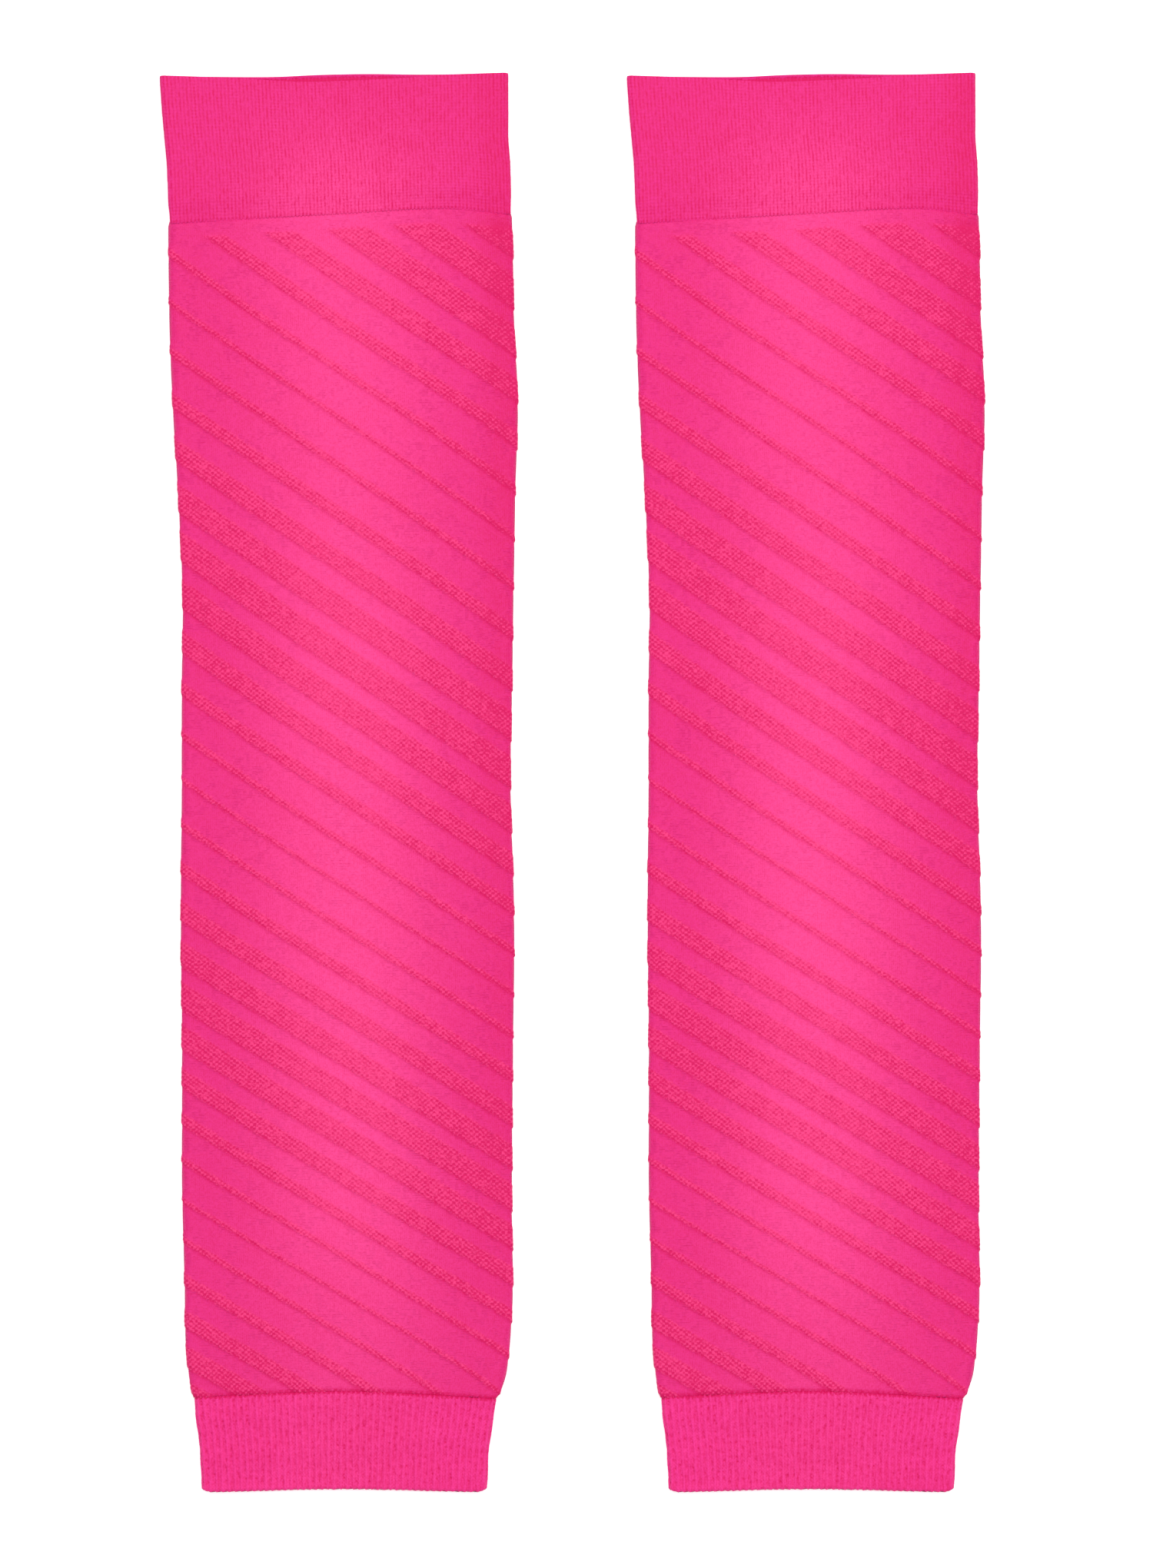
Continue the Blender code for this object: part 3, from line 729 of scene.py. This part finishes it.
def closed_cloth(name, grid, graded, points, tones, wales, inside_rows):
    """A closed cloth wall with its plain inside, and its maps of stitches, winding and tone; the tone map
    holds the painted light and the painted shade.
    """
    faces, used = graded
    lit, painted_shade = tones
    points[..., 2] = np.maximum(points[..., 2], 0.0)
    inner = WovenGrid(grid.tube, grid.columns // INSIDE_STEP, inside_rows)
    inner_points = outer_points(grid.tube, inner.turn, inner.depth, 0.0, inset=grid.tube.wall)
    rows, columns = grid.turn.shape
    first_inner = rows * columns
    all_faces = faces + (inner.even_faces()[:, ::-1] + first_inner).tolist()
    for row, inner_row, forward in ((0, 0, True), (rows - 1, inside_rows, False)):
        for i in range(inner.columns):
            run = [(i * INSIDE_STEP + k) % columns for k in range(INSIDE_STEP + 1)]
            ring = [row * columns + c for c in run if used[row, c]]
            ring.append(first_inner + inner_row * inner.columns + (i + 1) % inner.columns)
            ring.append(first_inner + inner_row * inner.columns + i)
            all_faces.append(ring if forward else ring[::-1])

    def joined(outside, inside):
        """The values of the outside, and then those of the inside."""
        return np.concatenate([outside.ravel(), inside.ravel()])

    turn = joined(grid.turn, inner.turn)
    depth = joined(grid.depth, inner.depth)
    below = joined(grid.from_upper, INSIDE_MARK - inner.from_upper)
    winding = bpy.context.scene.knit_winding
    turns = WindingRelief(winding, turn, depth, below).turns
    plain = np.zeros(inner.turn.size)
    # Painted shade at the folds, along with the painted shade of each piece.
    dark = np.maximum(painted_shade, FOLD_SHADE * (1.0 - off_folds(grid.turn)))
    maps = (
        ("stitches", turn * wales, joined(grid.along, inner.along) * grid.rows, wales),
        ("winding", turns, below, -winding.starts),
        ("tone", joined(lit, plain), joined(dark, plain), 0),
    )
    everything = np.concatenate([points.reshape(-1, 3), inner_points.reshape(-1, 3)])
    return mapped_mesh(name, everything, all_faces, turn, maps)


def mapped_mesh(name, points, faces, turn, maps):
    """A mesh of the points that its faces use. Each map runs on past the left fold, where a turn ends."""
    keep = np.zeros(len(points), dtype=bool)
    keep[[corner for face in faces for corner in face]] = True
    number = np.cumsum(keep) - 1
    mesh = bpy.data.meshes.new(name)
    mesh.from_pydata(points[keep], [], [number[face].tolist() for face in map(np.array, faces)])
    corners = np.empty(len(mesh.loops), dtype=np.int64)
    mesh.loops.foreach_get("vertex_index", corners)
    starts = np.empty(len(mesh.polygons), dtype=np.int64)
    totals = np.empty(len(mesh.polygons), dtype=np.int64)
    mesh.polygons.foreach_get("loop_start", starts)
    mesh.polygons.foreach_get("loop_total", totals)
    corner_turn = turn[keep][corners]
    spread = np.maximum.reduceat(corner_turn, starts) - np.minimum.reduceat(corner_turn, starts)
    wrapped = np.repeat(spread > HALF_ROUND, totals) & (corner_turn < HALF_ROUND)
    for map_name, first, second, period in maps:
        values = np.stack([first[keep][corners] + wrapped * period, second[keep][corners]], axis=-1)
        layer = mesh.uv_layers.new(name=map_name)
        layer.data.foreach_set("uv", values.astype(np.float32).ravel())
    mesh.shade_smooth()
    mesh.update()
    return mesh


# A smooth change of output while the input goes from low to high.
Ramp = namedtuple("Ramp", "low high at_low at_high", defaults=(0.0, 1.0))

# How the yarn takes light, and how far stitches and grain stand out.
YARN_LIGHT = {
    "Specular IOR Level": 0.16,
    "Sheen Weight": 0.05,
    "Sheen Roughness": 0.40,
    "Sheen Tint": (1.0, 0.60, 0.72, 1.0),
}
YARN_ROUGHNESS = Ramp(0.2, 0.8, 0.56, 0.72)
STITCH_BUMP = 0.05
GRAIN_BUMP = 0.8

# Grain, patches and soft tones: the size of their blots, their finer detail, and their shade.
GRAIN = (0.55, 2.0)
CLOUDS = (5.0, 3.0)
SOFT_TONE = (45.0, 2.0)
GRAIN_SHADE = Ramp(0.30, 0.70, 0.26, -0.08)
CLOUD_SHADE = Ramp(0.30, 0.70, 0.08, -0.03)
SOFT_SHADE = Ramp(0.35, 0.65, 0.05, -0.02)
# Painted shade where the stitch pattern is low and painted light where it is high, and how much of the dark
# shows under the painted light.
HEIGHT_SHADE = -0.16
DARK_UNDER_PAINTED_LIGHT = Ramp(0.0, 1.0, 1.06, 0.44)

# Waves in a stitch: high and low by turns, the fine hatch, and the dots along a seam.
BY_TURNS = 0.5
HATCH = 1.5
SEAM_DOTS = 1.0 / 3.0

# The painted shade on the rim inside an opening, in dashes.
RIM = Ramp(INSIDE_MARK - 0.9, INSIDE_MARK - 0.5, 1.0, 0.0)
RIM_DASHES = Ramp(-0.6, 0.6, 1.3, 0.6)
RAGGED_ROW = Ramp(0.2, 0.8, -0.25, 0.25)

# A winding band's edges, the line of shade along the lower one, and its start below the seam.
BAND_EDGE = Ramp(-0.03, 0.03)
RAGGED_EDGE = Ramp(0.25, 0.75, -0.045, 0.045)
EDGE_LINE_RISE = Ramp(-0.05, 0.0)
EDGE_LINE_FALL = Ramp(0.01, 0.08, 1.0, 0.0)
EDGE_LINE_SHADE = 0.26
START_REACH = 1.5

# The plain knit's hatch, along courses in some patches and along wales in others.
HATCH_BY_COURSE = Ramp(0.42, 0.58)
HATCH_BY_WALE = 0.5
HATCH_BROKEN = Ramp(0.0, 1.0, 0.1, 0.9)
HATCH_SHADE = 0.30
FINE_STITCHES = 2.0
FINE_STITCH_SHADE = Ramp(0.0, 1.0, 0.22, -0.08)

# The moss knit's uneven checks, the painted shade on its low stitches, and how far the yarn takes the moss
# colour.
CHECK_CHANCE = Ramp(0.0, 1.0, -0.42, 0.42)
CHECK_GRAIN = Ramp(0.2, 0.8, -0.5, 0.5)
CHECK_SHADE = Ramp(-1.2, 0.9, 0.74, -0.02)
MOSS_TINT = 0.6

# The ribs' loops and blots, and the dark row beside the cuff's seam.
FINE_LOOPS = Ramp(0.35, 0.65, 0.1, 0.45)
FINE_BLOTS = (1.1, 1.0)
FINE_BLOT_SHADE = Ramp(0.35, 0.65, 0.10, 0.0)
COARSE_LOOPS = Ramp(0.35, 0.65, 0.1, 0.5)
COARSE_BLOTS = (1.5, 1.0)
COARSE_BLOT_SHADE = Ramp(0.34, 0.62, 0.14, 0.0)
CUFF_ROW = Ramp(0.35, 1.0, 1.0, 0.0)
CUFF_ROW_DOTS = Ramp(-0.6, 0.7, 0.35, 1.0)

# What a stitch pattern is drawn from.
Places = namedtuple("Places", "wale course turns below grain cloud")


class Nodes:
    """Adds shader nodes one after another and joins them."""

    def __init__(self, material):
        material.use_nodes = True
        self.tree = material.node_tree
        self.shader = self.tree.nodes["Principled BSDF"]

    def add(self, kind, **settings):
        """A new node with its settings."""
        node = self.tree.nodes.new(kind)
        for name, value in settings.items():
            setattr(node, name, value)
        return node

    def feed(self, socket, value):
        """Gives a socket a constant or joins it to another socket."""
        if isinstance(value, bpy.types.NodeSocket):
            self.tree.links.new(value, socket)
        else:
            socket.default_value = value

    def math(self, operation, first, *others):
        """A value worked out from others, taken in their order."""
        for other in others or (0.0,):
            node = self.add("ShaderNodeMath", operation=operation)
            self.feed(node.inputs[0], first)
            self.feed(node.inputs[1], other)
            first = node.outputs[0]
        return first

    def sum(self, *values):
        """Values added up."""
        return self.math("ADD", *values)

    def less(self, value, other):
        """A value less another."""
        return self.math("SUBTRACT", value, other)

    def times(self, value, other):
        """A value times another."""
        return self.math("MULTIPLY", value, other)

    def ramp(self, value, ramp):
        """A value led through a smooth change."""
        node = self.add("ShaderNodeMapRange", interpolation_type="SMOOTHSTEP")
        for name, given in zip(("Value", "From Min", "From Max", "To Min", "To Max"), (value, *ramp)):
            self.feed(node.inputs[name], given)
        return node.outputs[0]

    def mix(self, share, first, second):
        """A colour between two others."""
        node = self.add("ShaderNodeMix", data_type="RGBA")
        self.feed(node.inputs[0], share)
        self.feed(node.inputs[6], first)
        self.feed(node.inputs[7], second)
        return node.outputs[2]

    def place(self, name):
        """The two numbers of a named map."""
        found = self.add("ShaderNodeUVMap", uv_map=name)
        parts = self.add("ShaderNodeSeparateXYZ")
        self.tree.links.new(found.outputs[0], parts.inputs[0])
        return parts.outputs[0], parts.outputs[1]

    def noise(self, size, detail):
        """Noise with blots of a size, which stays on the cloth."""
        node = self.add("ShaderNodeTexNoise")
        where = self.add("ShaderNodeTexCoord")
        self.tree.links.new(where.outputs["Object"], node.inputs["Vector"])
        node.inputs["Scale"].default_value = 1.0 / (size * MM)
        node.inputs["Detail"].default_value = detail
        return node.outputs["Fac"]

    def wave(self, value, periods):
        """A cosine of a value, from -1 to 1, with that many periods in each unit."""
        return self.math("COSINE", self.times(value, math.tau * periods))

    def by_stitch(self, across, down):
        """A number from 0 to 1 that is another one for each stitch."""
        cell = self.add("ShaderNodeCombineXYZ")
        self.feed(cell.inputs[0], self.math("ROUND", across))
        self.feed(cell.inputs[1], self.math("ROUND", down))
        node = self.add("ShaderNodeTexWhiteNoise", noise_dimensions="2D")
        self.tree.links.new(cell.outputs[0], node.inputs["Vector"])
        return node.outputs["Value"]

    def set_shader(self, settings):
        """Sets the shader's own sockets to constants."""
        for name, value in settings.items():
            self.shader.inputs[name].default_value = value

    def bump(self, height, distance):
        """Lets the shader's light follow a height."""
        node = self.add("ShaderNodeBump")
        self.feed(node.inputs["Height"], height)
        node.inputs["Distance"].default_value = distance * MM
        self.tree.links.new(node.outputs[0], self.shader.inputs["Normal"])


def rgba(colour):
    """A colour setting with full opacity."""
    return (*colour, 1.0)


def winding_share(nodes, turns, below, raggedness):
    """1 on a winding band and 0 beside it, and 1 on the line of shade along its lower edge."""
    winding = bpy.context.scene.knit_winding
    number = nodes.math("ROUND", turns)
    swing = nodes.times(nodes.wave(number, 1.0 / winding.starts), winding.share_swing / 2.0)
    half_share = nodes.less(winding.mean_share / 2.0, swing)
    offset = nodes.less(turns, number)
    inside = nodes.less(half_share, nodes.math("ABSOLUTE", offset))
    inside = nodes.sum(inside, raggedness)
    past = nodes.less(nodes.less(offset, half_share), raggedness)
    line = nodes.times(nodes.ramp(past, EDGE_LINE_RISE), nodes.ramp(past, EDGE_LINE_FALL))
    strip = winding.plain_strip / MM
    started = nodes.ramp(below, Ramp(strip, strip + START_REACH))
    share = nodes.times(nodes.ramp(inside, BAND_EDGE), started)
    return share, nodes.times(line, started)


def knit_material(name, yarn, loops):
    """A matt nylon knit. loops gives a stitch pattern's height, its moss colour and how dark it is."""
    colours = bpy.context.scene.knit_colours
    material = bpy.data.materials.new(name)
    nodes = Nodes(material)
    nodes.set_shader(YARN_LIGHT)
    # Painted light along the middle of a face, and painted shade in pits, grooves, creases and at folds.
    lit, painted_shade = nodes.place("tone")
    grain, cloud, soft = (nodes.noise(*kind) for kind in (GRAIN, CLOUDS, SOFT_TONE))
    places = Places(*nodes.place("stitches"), *nodes.place("winding"), grain, cloud)
    height, moss, dark = loops(nodes, places)
    # Painted light on the yarn along the middle of a face.
    colour = nodes.mix(lit, rgba(yarn), rgba(colours.lit))
    colour = nodes.mix(moss, colour, rgba(colours.moss))
    # Painted shade on the rim inside an opening, in dashes.
    rim = nodes.ramp(nodes.sum(places.below, nodes.ramp(grain, RAGGED_ROW)), RIM)
    dashes = nodes.ramp(nodes.wave(places.wale, BY_TURNS), RIM_DASHES)
    # How far the colour moves to the dark colour: painted shade from relief, pits, folds and the opening,
    # with random grain, patches and soft tones, less under the painted light.
    shade = nodes.sum(
        nodes.times(height, HEIGHT_SHADE),
        painted_shade,
        nodes.times(dark, nodes.ramp(lit, DARK_UNDER_PAINTED_LIGHT)),
        nodes.ramp(grain, GRAIN_SHADE),
        nodes.ramp(cloud, CLOUD_SHADE),
        nodes.ramp(soft, SOFT_SHADE),
        nodes.times(rim, dashes),
    )
    shade = nodes.math("MINIMUM", nodes.math("MAXIMUM", shade, 0.0), 1.0)
    colour = nodes.mix(shade, colour, rgba(colours.painted_shade))
    nodes.feed(nodes.shader.inputs["Base Color"], colour)
    nodes.feed(nodes.shader.inputs["Roughness"], nodes.ramp(grain, YARN_ROUGHNESS))
    nodes.bump(nodes.sum(height, nodes.times(grain, GRAIN_BUMP)), STITCH_BUMP)
    return material


def plain_loops(nodes, places):
    """Plain knit with faint wales and courses, and moss stitch in the winding bands."""
    wale, course, grain = places.wale, places.course, places.grain
    moss, line = winding_share(nodes, places.turns, places.below, nodes.ramp(grain, RAGGED_EDGE))
    by_course = nodes.ramp(places.cloud, HATCH_BY_COURSE)
    across = nodes.times(nodes.wave(course, HATCH), by_course)
    by_wale = nodes.times(nodes.less(1.0, by_course), HATCH_BY_WALE)
    down = nodes.times(nodes.wave(wale, HATCH), by_wale)
    chance = nodes.by_stitch(wale, course)
    plain = nodes.times(nodes.sum(across, down), nodes.ramp(chance, HATCH_BROKEN))
    fine_wale = nodes.times(wale, FINE_STITCHES)
    fine_course = nodes.times(course, FINE_STITCHES)
    fine = nodes.ramp(nodes.by_stitch(fine_wale, fine_course), FINE_STITCH_SHADE)
    checks = nodes.times(nodes.wave(wale, BY_TURNS), nodes.wave(course, BY_TURNS))
    checks = nodes.sum(checks, nodes.ramp(chance, CHECK_CHANCE), nodes.ramp(grain, CHECK_GRAIN))
    plain_part = nodes.times(plain, nodes.less(1.0, moss))
    height = nodes.sum(plain_part, nodes.times(checks, moss))
    # Painted shade on the low moss stitches.
    dark = nodes.times(nodes.ramp(checks, CHECK_SHADE), moss)
    dark = nodes.sum(dark, nodes.times(line, EDGE_LINE_SHADE))
    dark = nodes.less(dark, nodes.times(plain_part, HATCH_SHADE))
    return height, nodes.times(moss, MOSS_TINT), nodes.sum(dark, fine)


def fine_rib_loops(nodes, places):
    """Small loops up the ridges and the grooves of the fine rib."""
    rows = nodes.wave(places.course, BY_TURNS)
    height = nodes.times(rows, nodes.ramp(places.cloud, FINE_LOOPS))
    return height, 0.0, nodes.ramp(nodes.noise(*FINE_BLOTS), FINE_BLOT_SHADE)


def coarse_rib_loops(nodes, places):
    """Small loops up the ridges and the grooves of the coarse rib, and the dark row beside its seam."""
    checks = nodes.times(nodes.wave(places.course, BY_TURNS), nodes.wave(places.wale, BY_TURNS))
    height = nodes.times(checks, nodes.ramp(places.cloud, COARSE_LOOPS))
    blots = nodes.ramp(nodes.noise(*COARSE_BLOTS), COARSE_BLOT_SHADE)
    row = nodes.ramp(nodes.sum(places.below, nodes.ramp(places.grain, RAGGED_ROW)), CUFF_ROW)
    dots = nodes.ramp(nodes.wave(places.wale, SEAM_DOTS), CUFF_ROW_DOTS)
    return height, 0.0, nodes.sum(blots, nodes.times(row, dots))


def sleeve_place(side):
    """Where a sleeve's own centre line and upper edge lie in the frame, found from its upper band's box."""
    low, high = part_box(f"{side}_upper_band")
    left_reach = max(section.left for section in BAND_SECTIONS)
    return low[0] + left_reach * MM, high[1], 0.0


def girth(sections, depth):
    """The length round a laid tube in metres."""
    at = np.array([depth])
    width = read_curve(sections, "left", at) + read_curve(sections, "right", at)
    return 2.0 * float(width[0]) * MM


def add_to_sleeves(kind, knit, material, shown):
    """Puts one kind of cloth wall where its nodes lie in both sleeves."""
    for side in SIDES:
        mesh = knit.copy()
        mesh.materials.append(material)
        mesh.transform(Matrix.Translation(sleeve_place(side)))
        piece = add_thing(f"{side}_{kind}_knit", mesh, (0.0, 0.0, 0.0))
        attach(piece, BODY_NAME)
        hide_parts(f"{side}_{kind}")
        girth(shown.sections, shown.girth_depth)


class ARMSLEEVES_OT_upper_bands(bpy.types.Operator):
    """Add the doubled upper band of each sleeve"""

    bl_idname = "armsleeves.upper_bands"
    bl_label = "Add Upper Bands"

    def execute(self, context):
        material = knit_material("fine_rib_knit", context.scene.knit_colours.rib, fine_rib_loops)
        add_to_sleeves("upper_band", upper_band_mesh(), material, BAND_SHOWN)
        return {"FINISHED"}


class ARMSLEEVES_OT_bodies(bpy.types.Operator):
    """Add the seamless body of each sleeve"""

    bl_idname = "armsleeves.bodies"
    bl_label = "Add Bodies"

    def execute(self, context):
        material = knit_material("plain_and_moss_knit", context.scene.knit_colours.plain, plain_loops)
        add_to_sleeves("body", body_mesh(), material, BODY_SHOWN)
        return {"FINISHED"}


class ARMSLEEVES_OT_wrist_cuffs(bpy.types.Operator):
    """Add the ribbed wrist cuff of each sleeve"""

    bl_idname = "armsleeves.wrist_cuffs"
    bl_label = "Add Wrist Cuffs"

    def execute(self, context):
        material = knit_material("coarse_rib_knit", context.scene.knit_colours.cuff, coarse_rib_loops)
        add_to_sleeves("wrist_cuff", wrist_cuff_mesh(), material, CUFF_SHOWN)
        return {"FINISHED"}


def add_floor(colour):
    """Adds the pale floor under the pair."""
    bpy.ops.mesh.primitive_plane_add(size=6.0)
    floor = bpy.context.object
    floor.name = "floor"
    material = bpy.data.materials.new("pale_floor")
    nodes = Nodes(material)
    nodes.set_shader({"Base Color": rgba(colour), "Roughness": 0.9, "Specular IOR Level": 0.0})
    nodes.set_shader({"Emission Color": WHITE, "Emission Strength": 0.25})
    floor.data.materials.append(material)


def add_thing(name, data, place):
    """Adds a piece of cloth, a light or a camera at a place in metres."""
    thing = bpy.data.objects.new(name, data)
    thing.location = place
    bpy.context.scene.collection.objects.link(thing)
    return thing


def add_light():
    """Adds the room's even light and one large softbox that faces the middle of the pair."""
    world = bpy.data.worlds.new("soft_room")
    world.use_nodes = True
    background = world.node_tree.nodes["Background"]
    background.inputs["Color"].default_value = WHITE
    background.inputs["Strength"].default_value = 0.62
    bpy.context.scene.world = world
    data = bpy.data.lights.new("overhead_softbox", "AREA")
    data.size = 1.2
    data.energy = 26.0
    place = Vector((0.15, 0.45, 1.7))
    light = add_thing("overhead_softbox", data, place)
    light.rotation_euler = (-place).to_track_quat("-Z", "Y").to_euler()


def add_camera():
    """Adds the camera straight above, framed as in the photograph. Its heights are in metres."""
    data = bpy.data.cameras.new("camera")
    data.sensor_fit = "VERTICAL"
    data.sensor_height = 36.0
    height = 1.4
    cloth_height = 0.0029
    data.lens = data.sensor_height * (height - cloth_height) / (PHOTO_HEIGHT_PX * MM_PER_PX * MM)
    x = (PHOTO_WIDTH_PX / 2.0 - PAIR_MIDDLE_X_PX) * MM_PER_PX * MM
    y = (PAIR_MIDDLE_Y_PX - PHOTO_HEIGHT_PX / 2.0) * MM_PER_PX * MM
    bpy.context.scene.camera = add_thing("camera", data, (x, y, height))


class ARMSLEEVES_OT_stage(bpy.types.Operator):
    """Add the pale floor, the soft light and the camera"""

    bl_idname = "armsleeves.stage"
    bl_label = "Add Stage"

    def execute(self, context):
        add_floor(context.scene.knit_colours.floor)
        add_light()
        add_camera()
        context.scene.view_settings.view_transform = "Standard"
        return {"FINISHED"}


class ARMSLEEVES_PT_panel(bpy.types.Panel):
    """Lists the sleeve tools"""

    bl_idname = "ARMSLEEVES_PT_panel"
    bl_label = "Arm Sleeves"
    bl_space_type = "VIEW_3D"
    bl_region_type = "UI"
    bl_category = "Arm Sleeves"

    def draw(self, context):
        for group_name, kind in SETTING_GROUPS.items():
            for name in kind.__annotations__:
                self.layout.prop(getattr(context.scene, group_name), name)
        for operator in OPERATORS:
            self.layout.operator(operator.bl_idname)


OPERATORS = (
    ARMSLEEVES_OT_upper_bands,
    ARMSLEEVES_OT_bodies,
    ARMSLEEVES_OT_wrist_cuffs,
    ARMSLEEVES_OT_stage,
)
SETTING_GROUPS = {"knit_sizes": KnitSizes, "knit_winding": KnitWinding, "knit_colours": KnitColours}


def register():
    """Makes the settings, the operators and the panel known."""
    for name, group in SETTING_GROUPS.items():
        bpy.utils.register_class(group)
        setattr(bpy.types.Scene, name, bpy.props.PointerProperty(type=group))
    for item in (*OPERATORS, ARMSLEEVES_PT_panel):
        bpy.utils.register_class(item)


def unregister():
    """Takes them away again."""
    for item in reversed((*OPERATORS, ARMSLEEVES_PT_panel)):
        bpy.utils.unregister_class(item)
    for name, group in reversed(SETTING_GROUPS.items()):
        delattr(bpy.types.Scene, name)
        bpy.utils.unregister_class(group)


def main():
    """Builds the pair and its stage."""
    register()
    bpy.ops.armsleeves.upper_bands()
    bpy.ops.armsleeves.bodies()
    bpy.ops.armsleeves.wrist_cuffs()
    bpy.ops.armsleeves.stage()


if __name__ == "__main__":
    main()
